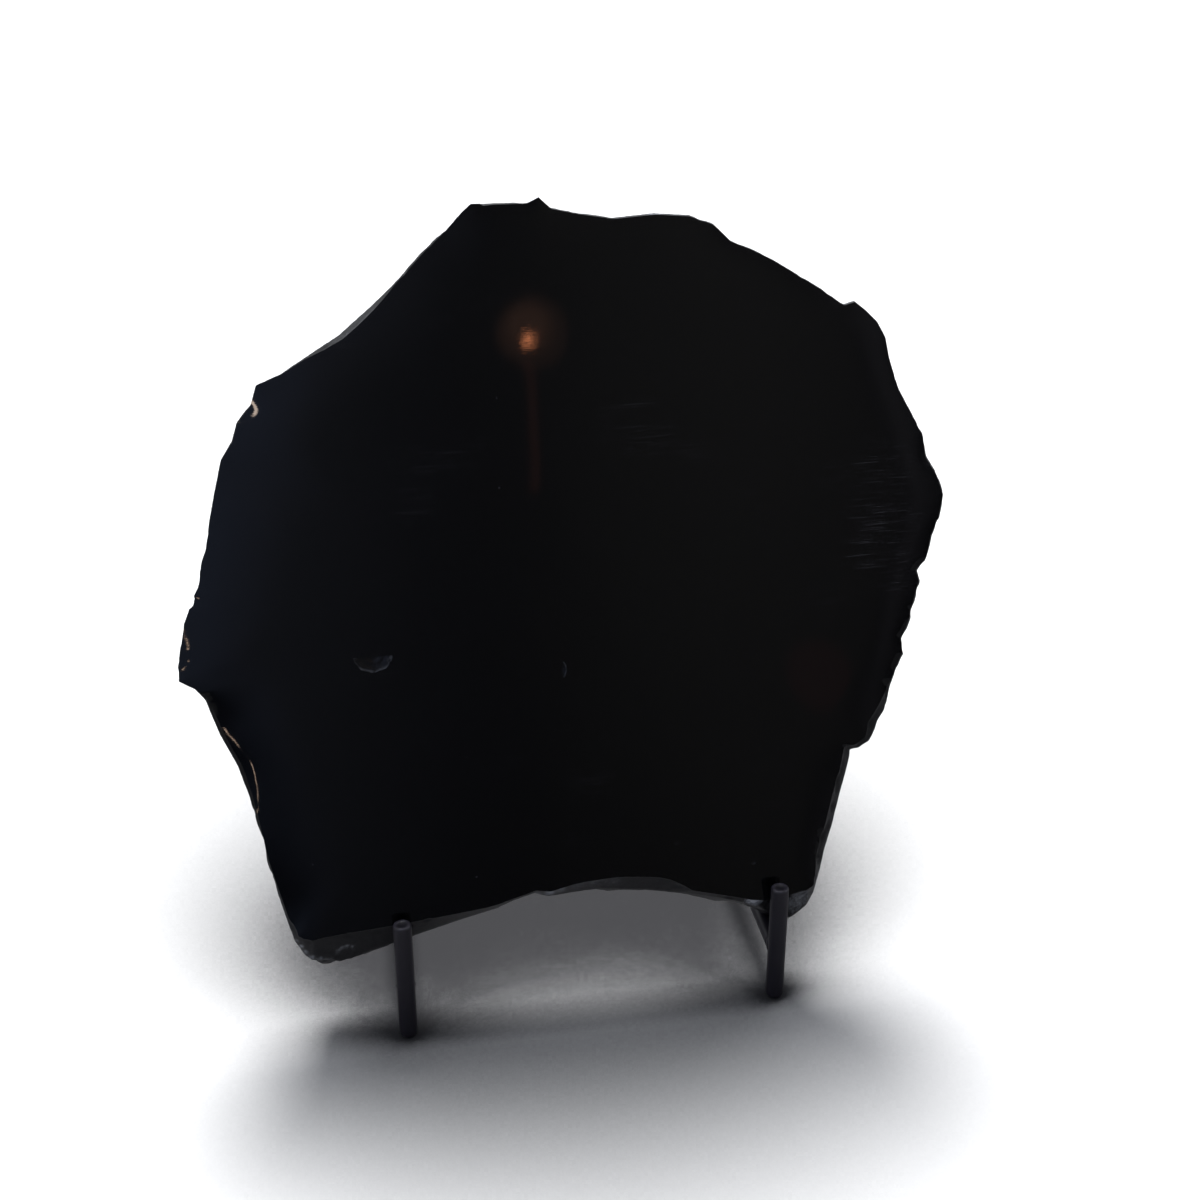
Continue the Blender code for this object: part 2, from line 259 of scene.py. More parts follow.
probe_depths = np.arange(FIRST_DEPTH, LIP_DEEPEST, LIP_STEP)
probed = np.array([[flank_offset(c, w) for w in probe_depths] for c in range(COLUMNS)])
outward_rate = np.diff(probed, axis=1) / LIP_STEP
lip_depth = np.empty(COLUMNS)
for column in range(COLUMNS):
    gentle = np.nonzero(outward_rate[column] > LIP_SLOPE)[0]
    lip_depth[column] = probe_depths[gentle[-1] + 1] if len(gentle) else FIRST_DEPTH
lip_depth = smooth_round(lip_depth, LIP_REACH)
facing_down = smooth_round(np.clip((-out[:, 1] - 0.35) / 0.35, 0.0, 1.0), LIP_REACH)
print(f"the polish rolls over by {lip_depth.min():.1f} to {lip_depth.max():.1f} mm")

# %% [markdown]
# A grid of offsets now describes the flank: one row for each depth, from the lip to the back.
# Rows lie closer near the two edges, where the small chips are. On the upper left the polish
# reaches almost to the broken edge. Only on the long slope a sliver of the break shows beside it.

# %% Grid of the flank
FLANK_ROWS = 40
EDGE_CROWDING = 0.085
CLOSED_ABOVE = 84.0
BACK_SOFT = 0.6
LIP_SAMPLE = 0.05
LEAST_GAP = 0.3
SLIVER = (-70.0, 209.0)
SLIVER_ALONG = np.array([0.80, 0.60])
SLIVER_HALF = 19.0
SLIVER_WIDE = 1.3

row_share = np.linspace(0.0, 1.0, FLANK_ROWS)
row_share = row_share - np.sin(2 * math.pi * row_share) * EDGE_CROWDING
grid_depth = lip_depth[:, None] + (THICKNESS - BACK_SOFT - lip_depth[:, None]) * row_share[None, :]
grid = np.array([[flank_offset(c, w + LIP_SAMPLE * (row == 0)) for row, w in enumerate(grid_depth[c])]
                 for c in range(COLUMNS)])
closed = (np.clip((-out[:, 0] - 0.1) / 0.2, 0.0, 1.0)
          * np.clip((outline[:, 1] - CLOSED_ABOVE) / 8, 0.0, 1.0))
sliver = np.linalg.norm((outline - np.array(SLIVER)) @ SLIVER_ALONG[:, None], axis=1) / SLIVER_HALF
sliver_gap = SLIVER_WIDE * np.clip(1 - sliver ** 2, 0.0, 1.0) * (outline[:, 0] < -30)
pulled = -(LEAST_GAP + sliver_gap)
for row in range(FLANK_ROWS // 3):
    grid[:, row] = np.where(closed > 0.5, np.maximum(grid[:, row], pulled), grid[:, row])
lip_depth = lip_depth * (1 - facing_down) + 0.02 * facing_down
grid_depth[:, 0] = lip_depth
print("flank grid:", grid.shape, "offsets from", round(grid.min(), 1), "to", round(grid.max(), 1))

# %% [markdown]
# How obsidian breaks. Glass has no grain, so it splits along shells, like the inside of a mussel:
# smooth cups that meet in sharp ridges, with faint ripples round the point that was struck. The
# large cups are in the model already. Smaller ones are cut here as spheres: wherever a sphere
# that hangs outside the stone reaches in, the surface is pushed back to the sphere. A sphere
# leaves exactly the smooth cup and the sharp ridge. The ripples are waves in its radius. A cup
# takes only a little more than its own depth from a part that stands out, and it fades at its
# rim, so that it never leaves a block standing.

# %% Bite small shells out of the flank
RIPPLE_SPACING = 1.7
CUP_LIMIT = 1.6
CUP_FADE_FROM = 0.5
CUP_FADE_TO = 0.8


def bite(centre_arc, centre_depth, cup_width, cup_deep, ripple, phase):
    """Push the flank back to a sphere's inside, where the sphere reaches it."""
    radius = (cup_width ** 2 / 4 + cup_deep ** 2) / (2 * cup_deep)
    away = np.abs(arc - centre_arc)
    away = np.minimum(away, perimeter - away)
    near = np.nonzero(away < cup_width)[0]
    home = near[np.argmin(away[near])]
    row = np.argmin(np.abs(grid_depth[home] - centre_depth))
    hang = grid[home, row] + radius - cup_deep
    squared = away[near, None] ** 2 + (grid_depth[near] - centre_depth) ** 2
    reach = np.sqrt(np.maximum(radius ** 2 - squared, 0.0))
    wave = ripple * np.cos(2 * math.pi * np.sqrt(squared) / RIPPLE_SPACING + phase)
    over = np.maximum(grid[near] - (hang - reach + wave), 0.0)
    most = CUP_LIMIT * cup_deep
    share = np.sqrt(squared) / cup_width
    fade = np.clip((CUP_FADE_TO - share) / (CUP_FADE_TO - CUP_FADE_FROM), 0.0, 1.0)
    grid[near] -= most * (1 - np.exp(-over / most)) * fade


SHELLS = 150
SHELL_WIDTHS = (5.0, 15.0)
SHELL_PLACES = (9.0, 25.0)
SHELL_SHARES = (0.08, 0.16)
RIPPLE_HEIGHTS = (0.01, 0.04)
ANY_PHASE = (0, 6)

dice = random.Random(41)
for index in range(SHELLS):
    wide = dice.uniform(*SHELL_WIDTHS)
    bite(dice.uniform(0, perimeter), dice.uniform(*SHELL_PLACES), wide,
         wide * dice.uniform(*SHELL_SHARES), dice.uniform(*RIPPLE_HEIGHTS), dice.uniform(*ANY_PHASE))
print(SHELLS, "shells cut")

# %% [markdown]
# The rim is where the polish met the raw edge, and it is the most battered line of the slab. It
# has small nicks all round, crowded and deeper on the right side, which looks like a worn saw
# blade, and rare on the left. A nick is at least three columns wide, since a narrower one would
# come out as a spike. One deep pit on the left edge stands by itself.

# %% Nick the rim
NICK_RUNS = [
    # from and to as shares of the outline, clockwise from the top, how many, widest nick in mm,
    # and the most that one bites in, as a share of its width
    (0.00, 0.10, 8, 3.4, 0.12), (0.10, 0.22, 8, 3.4, 0.12), (0.22, 0.29, 10, 3.6, 0.16),
    (0.29, 0.40, 48, 4.0, 0.15), (0.40, 0.55, 12, 3.6, 0.14), (0.55, 0.70, 10, 3.4, 0.12),
    (0.70, 0.86, 6, 3.2, 0.08), (0.86, 1.00, 6, 3.4, 0.10),
]
NARROWEST_NICK = 2.4
SHALLOWEST_NICK = 0.06
NICK_DEPTHS = (0.0, 1.6)
LEFT_PIT = (-126.0, 119.0)
LEFT_PIT_WIDTH = 4.6
LEFT_PIT_DEEP = 1.1

for first, last, count, widest, steepest in NICK_RUNS:
    for index in range(count):
        wide = dice.uniform(NARROWEST_NICK, widest)
        centre = perimeter * dice.uniform(first, last)
        column = int(centre / perimeter * COLUMNS) % COLUMNS
        bite(centre, lip_depth[column] + dice.uniform(*NICK_DEPTHS), wide,
             wide * dice.uniform(SHALLOWEST_NICK, steepest), 0.0, dice.uniform(*ANY_PHASE))
pit_column = int(np.argmin(np.linalg.norm(outline - np.array(LEFT_PIT), axis=1)))
bite(arc[pit_column], lip_depth[pit_column] + 0.8, LEFT_PIT_WIDTH, LEFT_PIT_DEEP, 0.0, 0.0)
print("rim nicked in", sum(run[2] for run in NICK_RUNS) + 1, "places")

# %% [markdown]
# Between the shells the stone isn't smooth. Fine steps and feathers run down the flank, away from
# the rim, where the split tore instead of running clean. A little stretched noise stands for
# them. It fades out at the lip, so that the rim keeps its place.

# %% Tear marks on the flank
TEAR_HEIGHT = 0.14
TEAR_FROM = 0.7
TEAR_ALONG = 0.35
TEAR_INTO = 0.09
GRAIN_HEIGHT = 0.06
GRAIN_SCALE = 0.9

for column in range(COLUMNS):
    for row in range(1, FLANK_ROWS):
        place = Vector((*outline[column], grid_depth[column, row]))
        streak = Vector((place.x * TEAR_ALONG, place.y * TEAR_ALONG, place.z * TEAR_INTO))
        torn = noise.ridged_multi_fractal(streak, 1.0, 2.1, 3, 0.9, 2.0)
        grain = noise.noise(place * GRAIN_SCALE)
        fade = min(1.0, row / 7) * min(1.0, (FLANK_ROWS - 1 - row) / 4 + 0.3)
        grid[column, row] -= fade * (TEAR_HEIGHT * max(0.0, torn - TEAR_FROM) + GRAIN_HEIGHT * grain)
print("tear marks added")

# %% [markdown]
# How wide is the rolled margin? The polishing wheel sinks in at the rim. On the right it only
# broke the edge, over some fifteen millimetres. On the left the face bends away over twice that,
# which is why its reflection slowly brightens there. A hand held the stone to the wheel, so the
# width wanders a little. At three places on the left the wheel dug in more steeply, and those
# catch the short glints of the warm lights. At a fourth it hardly sank in.

# %% Width of the margin
MARGIN_WIDTH = 15.0
LEFT_MARGIN = 32.0
MARGIN_WANDER = 0.30
WANDER_EVERY = 45.0
WIDTH_REACH = 8
MARGIN_PLACES = [
    # u, v, reach along the edge, width of the margin there
    (-101, 184, 12, 25), (-131, 97, 9, 22), (-115, 64, 28, 24),
    (-111, 162, 10, 44),
]

facing_left = np.clip((-out[:, 0] - 0.3) / 0.5, 0.0, 1.0)
margin_width = MARGIN_WIDTH + (LEFT_MARGIN - MARGIN_WIDTH) * facing_left
wander = [noise.noise(Vector((x, y, 0.0)) / WANDER_EVERY) for x, y in outline]
margin_width *= 1 + MARGIN_WANDER * np.array(wander) * (1 - facing_left)
for u, v, reach, local_width in MARGIN_PLACES:
    away = np.linalg.norm(outline - np.array([u, v]), axis=1) / reach
    near = np.clip(1.0 - away ** 2, 0.0, 1.0)
    margin_width = margin_width * (1 - near) + local_width * near
margin_width = smooth_round(margin_width, WIDTH_REACH)
print(f"margin {margin_width.min():.0f} to {margin_width.max():.0f} mm wide")

# %% [markdown]
# The skin of the slab is one closed mesh of rings: the flat middle of the face, the margin that
# the polishing wheel rolled over, the flank, and the sawn back. The roll begins imperceptibly and
# gets steeper to the lip, because a reflection shows every kink in a polished surface. A power
# a little above two gives that. Away from the lip the rings follow a calmer outline, so that the
# nicks don't crease the polish, and they close in on the middle of the face, so that they never
# cross. Two helpers come first, because the round bars of the stand are made of rings as well.

# %% Rings into solids
def close_rings(mesh, rings, finishes=None):
    """Faces between neighbouring rings and over both ends. Each band may have its own finish."""
    finishes = finishes or [0] * len(rings)
    for lower, upper, finish in zip(rings, rings[1:], finishes):
        for index, corner in enumerate(lower):
            after = (index + 1) % len(lower)
            face = mesh.faces.new((corner, lower[after], upper[after], upper[index]))
            face.material_index = finish
    mesh.faces.new(list(reversed(rings[0]))).material_index = finishes[0]
    mesh.faces.new(rings[-1]).material_index = finishes[len(rings) - 2]


def add_solid(name, mesh, materials=()):
    """Smooth-shaded object made of a worked mesh, with all its faces turned outwards."""
    bmesh.ops.recalc_face_normals(mesh, faces=mesh.faces)
    data = bpy.data.meshes.new(name)
    mesh.to_mesh(data)
    mesh.free()
    for material in materials:
        data.materials.append(material)
    data.shade_smooth()
    return add_object(name, data)


print("ring helpers ready")

# %% Skin of the slab
MARGIN_SHARES = [1.0, 0.88, 0.76, 0.64, 0.52, 0.41, 0.31, 0.22, 0.14, 0.08, 0.03]
MARGIN_ROLL = 2.5
CALM_FROM = 5.0
CALM_REACH = 12
FACE_CENTRE = np.array([0.0, 118.0])
POLISHED, BROKEN, SAWN = 0, 1, 2


def slab_skin():
    """The slab's rings from the middle of the face to the back, closed into one mesh."""
    mesh = bmesh.new()

    def ring_of(places, depths):
        return [mesh.verts.new(slab_to_room(u, v, w) * MM) for (u, v), w in zip(places, depths)]

    lip = outline + out * grid[:, 0][:, None]
    calm = smooth_round(smooth_round(lip, CALM_REACH), CALM_REACH)
    inward = FACE_CENTRE - calm
    inward /= np.linalg.norm(inward, axis=1)[:, None]
    rings = []
    for share in MARGIN_SHARES:
        inset = (margin_width * share)[:, None]
        blend = np.minimum(1.0, inset / CALM_FROM)
        places = (1 - blend) * lip + blend * calm + inward * inset
        rings.append(ring_of(places, lip_depth * (1 - share) ** MARGIN_ROLL))
    for row in range(FLANK_ROWS):
        rings.append(ring_of(outline + out * grid[:, row][:, None], grid_depth[:, row]))
    back = outline + out * (grid[:, -1] - BACK_SOFT)[:, None]
    rings.append(ring_of(back, np.full(COLUMNS, THICKNESS)))
    close_rings(mesh, rings, [POLISHED] * len(MARGIN_SHARES) + [BROKEN] * (FLANK_ROWS - 1) + [SAWN])
    return mesh


slab = add_solid("obsidian_skin", slab_skin())
print("skin:", len(slab.data.vertices), "corners,", len(slab.data.polygons), "faces")

# %% [markdown]
# Chips in the face. A hard knock on the polish leaves a half-moon: a straight side where the
# splinter let go, a round side where it ran out, and ripples between. Each chip is cut by
# subtracting a shallow rippled bowl. The bowl is a fan of rings round the struck point.

# %% Half-moon bowls
BOWL_RINGS = 16
BOWL_SPOKES = 36
BOWL_LID = 0.6
BOWL_FEATHER = 0.04


def half_moon(mesh, u, v, half_width, drop, deep, turn=0.0, ripples=2.5):
    """Add one closed bowl to the mesh: flat side up, then turned anticlockwise by turn degrees."""
    turn = math.radians(turn)

    def place(ring, spoke, w):
        share = ring / BOWL_RINGS
        angle = math.pi * spoke / BOWL_SPOKES
        ragged = 1.0 + 0.025 * math.sin(9 * angle + u) + 0.015 * math.sin(23 * angle)
        x = -math.cos(angle) * half_width * share * ragged
        y = -math.sin(angle) * drop * share * ragged
        return slab_to_room(u + x * math.cos(turn) - y * math.sin(turn),
                            v + x * math.sin(turn) + y * math.cos(turn), w) * MM

    def depth(ring):
        share = ring / BOWL_RINGS
        wave = 0.10 * math.sin(2 * math.pi * ripples * share ** 1.3)
        return deep * max(0.0, (1 - share ** 1.6) * (1 + wave)) - BOWL_FEATHER * share

    floor = [[mesh.verts.new(place(max(ring, 0.02), spoke, depth(ring)))
              for spoke in range(BOWL_SPOKES + 1)] for ring in range(BOWL_RINGS + 1)]
    lid = [mesh.verts.new(place(BOWL_RINGS, spoke, -BOWL_LID)) for spoke in range(BOWL_SPOKES + 1)]
    rows = floor + [lid]
    for inner, outer in zip(rows, rows[1:]):
        for spoke in range(BOWL_SPOKES):
            mesh.faces.new((inner[spoke], inner[spoke + 1], outer[spoke + 1], outer[spoke]))
    mesh.faces.new(floor[0])
    mesh.faces.new([row[0] for row in rows] + [row[-1] for row in reversed(rows)])
    mesh.faces.new(list(reversed(lid)))


CHIPS = [
    # u, v, half width, drop, depth, turn
    (-69, 96.8, 6.7, 5.5, 0.45, 0),
    (-5.5, 87.5, 3.2, 1.7, 0.20, 84),
    (58, 14.5, 0.9, 0.8, 0.20, 10),
    (31, 24, 0.7, 0.7, 0.18, 0),
    (66, 137, 0.8, 0.6, 0.15, 40),
    (20, 160, 0.6, 0.5, 0.12, 0),
    (-40, 60, 0.6, 0.5, 0.12, 200),
    (88, 173, 0.7, 0.6, 0.15, 160),
]
bowls = bmesh.new()
for chip in CHIPS:
    half_moon(bowls, *chip)
for face in bowls.faces:
    face.material_index = BROKEN
cutter = add_solid("bowls", bowls)
print(len(CHIPS), "bowls,", len(cutter.data.polygons), "faces")

# %% Cut the chips
cut = slab.modifiers.new("chips", "BOOLEAN")
cut.operation = "DIFFERENCE"
cut.solver = "EXACT"
cut.object = cutter
print("bowls set to cut")

# %% [markdown]
# Materials. One helper gives inputs their values or links, and one adds a node with them. Nothing
# else is needed to build every material below.

# %% Node helpers
def give(tree, node, inputs):
    """Set a node's inputs to values, or link them. A node stands for its first live output."""
    for key, value in inputs.items():
        if isinstance(value, bpy.types.Node):
            value = next(output for output in value.outputs if output.enabled)
        if isinstance(value, bpy.types.NodeSocket):
            tree.links.new(value, node.inputs[key])
        else:
            node.inputs[key].default_value = value
    return node


def add_node(tree, kind, inputs=(), **settings):
    """New shader node of a kind. Inputs are as for give, and settings are its properties."""
    node = tree.nodes.new("ShaderNode" + kind)
    for key, value in settings.items():
        setattr(node, key, value)
    return give(tree, node, dict(inputs))


def new_material(name):
    """Empty material with its tree and its Principled shader."""
    material = bpy.data.materials.new(name)
    material.use_nodes = True
    return material, material.node_tree, material.node_tree.nodes["Principled BSDF"]


print("helpers ready")

# %% [markdown]
# Polished volcanic glass. Obsidian is lava that froze before crystals could grow. Its refractive
# index is close to window glass, about 1.5, so the face mirrors only a twenty-fifth of the light
# that falls on it, and the black stone behind shows the rest as darkness. It was ground with
# finer and finer grit and buffed to and fro, which leaves hair scratches along the buffing
# direction, about half a millimetre apart and fifteen long. They lie in patches, most of them by
# the right edge, where the buffing was hurried. A few pinholes show as pale dots.

# %% Material: polished volcanic glass
GLASS_IOR = 1.5
SCRATCH_PITCH = 0.45
SCRATCH_STRETCH = 34.0
HURRIED_PLACE = (111.0, 134.0)
HURRIED_SIZE = (30.0, 48.0)
PINHOLE_SPACING = 17.0
PINHOLE_SIZE = 0.28
POLISH_WAVE = 45.0


def slab_coordinates(tree):
    """Position in the slab's own directions: u along x, v along y, w along z, in metres."""
    position = add_node(tree, "TexCoord")
    return add_node(tree, "Mapping", {
        "Vector": position.outputs["Object"], "Rotation": (LEAN - math.pi / 2, 0.0, 0.0)})


def stretched(tree, coordinates, scale):
    """The same coordinates, scaled differently along each axis."""
    return add_node(tree, "Mapping", {"Vector": coordinates, "Scale": scale})


def polished_glass():
    material, tree, shader = new_material("polished_volcanic_glass")
    here = slab_coordinates(tree)
    pitch = 1 / (SCRATCH_PITCH * MM)
    lines = add_node(tree, "TexNoise", {
        "Vector": stretched(tree, here, (pitch / SCRATCH_STRETCH, pitch, pitch)), "Scale": 1.0,
        "Detail": 3.0, "Roughness": 0.7})
    patches = add_node(tree, "TexNoise", {
        "Vector": stretched(tree, here, (26.0, 48.0, 26.0)), "Scale": 1.0, "Detail": 3.0,
        "Roughness": 0.6})
    middle = Matrix.Rotation(LEAN - math.pi / 2, 3, "X") @ (slab_to_room(*HURRIED_PLACE, 0.0) * MM)
    per_metre = [1 / (size * MM) for size in HURRIED_SIZE]
    patch = add_node(tree, "Mapping", {
        "Vector": here, "Location": (-middle.x * per_metre[0], -middle.y * per_metre[1], 0.0),
        "Scale": (*per_metre, 0.0)})
    from_middle = add_node(tree, "VectorMath", {0: patch}, operation="LENGTH")
    hurried = add_node(tree, "MapRange", {
        "Value": from_middle, "From Min": 1.0, "From Max": 0.2, "To Max": 0.24},
        interpolation_type="SMOOTHSTEP")
    eased = add_node(tree, "Math", {0: patches, 1: hurried})
    where = add_node(tree, "MapRange", {"Value": eased, "From Min": 0.60, "From Max": 0.92})
    deep = add_node(tree, "MapRange", {"Value": lines, "From Min": 0.54, "From Max": 0.74})
    scratched = add_node(tree, "Math", {0: where, 1: deep}, operation="MULTIPLY")
    grains = add_node(tree, "TexVoronoi", {"Vector": here, "Scale": 1 / (PINHOLE_SPACING * MM)})
    pinholes = add_node(tree, "MapRange", {
        "Value": grains, "From Min": PINHOLE_SIZE / PINHOLE_SPACING,
        "From Max": 0.5 * PINHOLE_SIZE / PINHOLE_SPACING})
    marks = add_node(tree, "Math", {0: scratched, 1: pinholes}, operation="MAXIMUM")
    tint = add_node(tree, "Mix", {
        "Factor": marks, 6: linear("#040405"), 7: linear("#3E3E44")}, data_type="RGBA")
    wave = add_node(tree, "TexNoise", {"Vector": here, "Scale": 1 / (POLISH_WAVE * MM), "Detail": 1.0})
    waved = add_node(tree, "Bump", {"Height": wave, "Strength": 0.35, "Distance": 0.0006})
    bumped = add_node(tree, "Bump", {
        "Height": lines, "Strength": 0.10, "Distance": 0.00002, "Normal": waved})
    give(tree, shader, {"IOR": GLASS_IOR, "Roughness": 0.026, "Base Color": tint, "Normal": bumped})
    return material


polished = polished_glass()
print(polished.name)

# %% [markdown]
# Broken volcanic glass is as glossy as the polish, but nothing made it flat, so it flickers from
# black to pale grey as it turns. Along the underside the slab was ground to stand, and the coarse
# grit left it an even dark grey, matt like frosted glass. Crushed spots, where the stone took a
# blow, are grey white powder of splinters. Two numbers on the mesh say where: frosted, crushed.

# %% Material: broken volcanic glass
def broken_glass():
    material, tree, shader = new_material("broken_volcanic_glass")
    here = slab_coordinates(tree)
    crushed = add_node(tree, "Attribute", attribute_name="crushed")
    frosted = add_node(tree, "Attribute", attribute_name="frosted")
    speckle = add_node(tree, "TexNoise", {
        "Vector": here, "Scale": 700.0, "Detail": 4.0, "Roughness": 0.75})
    mixed = add_node(tree, "Math", {0: speckle, 1: 1.6, 2: -0.85}, operation="MULTIPLY_ADD")
    powder = add_node(tree, "Math", {0: mixed, 1: crushed.outputs["Fac"]}, use_clamp=True)
    dusty = add_node(tree, "Math", {
        0: powder, 1: crushed.outputs["Fac"]}, operation="MULTIPLY", use_clamp=True)
    ground = add_node(tree, "Mix", {
        "Factor": frosted.outputs["Fac"], 6: linear("#09090B"), 7: linear("#222224")}, data_type="RGBA")
    tint = add_node(tree, "Mix", {"Factor": dusty, 6: ground, 7: linear("#A6ABB6")}, data_type="RGBA")
    matt = add_node(tree, "Math", {0: dusty, 1: frosted.outputs["Fac"]}, operation="MAXIMUM")
    gloss = add_node(tree, "MapRange", {"Value": matt, "To Min": 0.13, "To Max": 0.45})
    hackle = add_node(tree, "TexNoise", {
        "Vector": stretched(tree, here, (420.0, 420.0, 110.0)), "Scale": 1.0, "Detail": 4.0,
        "Roughness": 0.65})
    bumped = add_node(tree, "Bump", {"Height": hackle, "Strength": 0.35, "Distance": 0.0004})
    give(tree, shader, {"IOR": GLASS_IOR, "Roughness": gloss, "Base Color": tint, "Normal": bumped})
    return material


broken = broken_glass()
print(broken.name)

# %% [markdown]
# Sawn volcanic glass. The back was cut with a diamond blade and left as it came off the saw: a
# matt dark grey, with faint arcs about a centimetre apart where the blade's rim passed. The wave
# texture turns by 20 radians in a metre, and its scale follows from that and the spacing.

# %% Material: sawn volcanic glass
BLADE_RADIUS = 260.0
BLADE_ASIDE = 120.0
ARC_SPACING = 10.053
WAVE_TURN = 20.0


def sawn_glass():
    material, tree, shader = new_material("sawn_volcanic_glass")
    here = slab_coordinates(tree)
    hub = add_node(tree, "Mapping", {
        "Vector": here, "Location": (BLADE_ASIDE * MM, BLADE_RADIUS * MM, 0.0)})
    arcs = add_node(tree, "TexWave", {
        "Vector": hub, "Scale": 2 * math.pi / (WAVE_TURN * ARC_SPACING * MM), "Distortion": 1.2,
        "Detail": 2.0}, wave_type="RINGS", rings_direction="Z")
    grit = add_node(tree, "TexNoise", {"Vector": here, "Scale": 1500.0, "Detail": 3.0})
    cloud = add_node(tree, "TexNoise", {"Vector": here, "Scale": 18.0, "Detail": 4.0})
    tint = add_node(tree, "Mix", {
        "Factor": cloud, 6: linear("#1B1B1D"), 7: linear("#2A2A2C")}, data_type="RGBA")
    gloss = add_node(tree, "MapRange", {"Value": cloud, "To Min": 0.42, "To Max": 0.62})
    coarse = add_node(tree, "Bump", {"Height": arcs.outputs["Fac"], "Strength": 0.25, "Distance": 0.0001})
    fine = add_node(tree, "Bump", {"Height": grit, "Strength": 0.3, "Distance": 0.0001, "Normal": coarse})
    give(tree, shader, {"IOR": GLASS_IOR, "Roughness": gloss, "Base Color": tint, "Normal": fine})
    return material


sawn = sawn_glass()
print(sawn.name)

# %% [markdown]
# The slab takes its three finishes by face: polish in front, fracture round the flank, saw marks
# behind. The cut is applied first, because the fresh faces of the chips need their finish too.

# %% Dress the slab
CRUSHED_SPOTS = [
    # u, v, reach and strength, in slab axes
    (-99.8, -1, 1.3, 1), (-98.6, -3.4, 1.7, 1), (-96.6, -5.6, 2, 1), (-93.6, -7, 2.2, 1),
    (-90.6, -7.6, 1.7, 1), (-101.2, 1.2, 1.1, 0.9),
    (-87.6, -4, 1.2, 0.8), (-86.2, -2.9, 1.2, 0.8), (-84.4, -2.5, 1.3, 0.8), (-82.7, -2.9, 1.2, 0.8),
    (-82.2, -4, 1, 0.7),
    (-18, 8.4, 2.4, 1), (-14, 9.6, 2.6, 1), (-10, 10.8, 2.8, 0.6), (-4, 11.2, 4.5, 0.35),
    (2, 11.6, 4.5, 0.35), (8, 12, 4.5, 0.30),
    (75, -3, 8, 0.55), (58, 0, 4, 1), (66, -2.5, 3, 0.5),
    (35, 239, 4, 0.7), (-68, 209, 17, 0.30), (-126, 119, 1.8, 0.9),
    (-132, 93, 2.5, 0.4), (0, 244, 3, 0.3),
]
SPOT_DEEPEST = 12.0
FROST_FROM = 20.0
FROST_FADE = 6.0
CLEAR_FROM = 40.0
CLEAR_FADE = 20.0
CHIP_RIM_FROM = 0.60
CHIP_RIM_PALE = 0.38
FRACTURE_RIDGE = 28.0


def sharpen_borders(mesh):
    """Mark the edges where two finishes meet as sharp, so that no reflection bends across them."""
    finish = {}
    for polygon in mesh.polygons:
        for key in polygon.edge_keys:
            finish.setdefault(key, set()).add(polygon.material_index)
    for edge in mesh.edges:
        if len(finish.get(tuple(sorted(edge.vertices)), ())) > 1:
            edge.use_edge_sharp = True


def apply_modifiers(piece):
    """Replace a piece's mesh by what its modifiers make of it."""
    graph = bpy.context.evaluated_depsgraph_get()
    made = bpy.data.meshes.new_from_object(piece.evaluated_get(graph))
    piece.modifiers.clear()
    piece.data = made


for piece in (slab, cutter):
    for finish in (polished, broken, sawn):
        piece.data.materials.append(finish)
apply_modifiers(slab)
bpy.data.objects.remove(cutter)
slab.data.shade_smooth()
slab.data.set_sharp_from_angle(angle=math.radians(FRACTURE_RIDGE))
sharpen_borders(slab.data)


def chip_rim(u, v):
    """How pale a chip is at a place: only near its round side, where the splinter tore off."""
    pale = 0.0
    for chip_u, chip_v, half_width, drop, deep, turn in CHIPS:
        turn = math.radians(turn)
        du, dv = u - chip_u, v - chip_v
        x = du * math.cos(turn) + dv * math.sin(turn)
        y = -du * math.sin(turn) + dv * math.cos(turn)
        share = math.hypot(x / half_width, y / drop)
        if share < 1.1 and y < 0.3:
            low = -y / drop
            rise = max(0.0, (share - CHIP_RIM_FROM) / (1 - CHIP_RIM_FROM))
            pale = max(pale, CHIP_RIM_PALE * rise * (0.6 + 0.4 * low))
    return pale


crushed, frosted = [], []
for vertex in slab.data.vertices:
    u, v, w = room_to_slab(vertex.co / MM)
    most = 0.0
    for spot_u, spot_v, reach, strength in CRUSHED_SPOTS:
        away = math.hypot(u - spot_u, v - spot_v) / reach
        most = max(most, strength * max(0.0, 1 - away * away))
    most *= max(0.0, 1 - w / SPOT_DEEPEST)
    if w < 1.2:
        most = max(most, chip_rim(u, v))
    crushed.append(most)
    low = min(1.0, max(0.0, (FROST_FROM - v) / FROST_FADE))
    right = min(1.0, max(0.0, (u - CLEAR_FROM) / CLEAR_FADE))
    frosted.append(low * (1.0 - 0.75 * right))
for name, values in (("crushed", crushed), ("frosted", frosted)):
    slab.data.attributes.new(name, "FLOAT", "POINT").data.foreach_set("value", values)
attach(slab, "root")
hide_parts("obsidian_slab")
print("slab dressed:", len(slab.data.polygons), "faces")

# %% [markdown]
# Powder-coated steel. The stand is mild steel bar, sprayed with black polyester powder and baked.
# The powder flows into a skin about a tenth of a millimetre thick, satin rather than glossy, with
# the faint dimples that painters call orange peel, a millimetre or so across. On the sawn tops
# the coat is thin over the burr, so the rim of each top is rubbed paler. That pale rim is also a
# painted highlight, where the upward-facing rim catches the light from above.

# %% Material: powder-coated steel
COAT_IOR = 1.5
PEEL_SIZE = 1.1


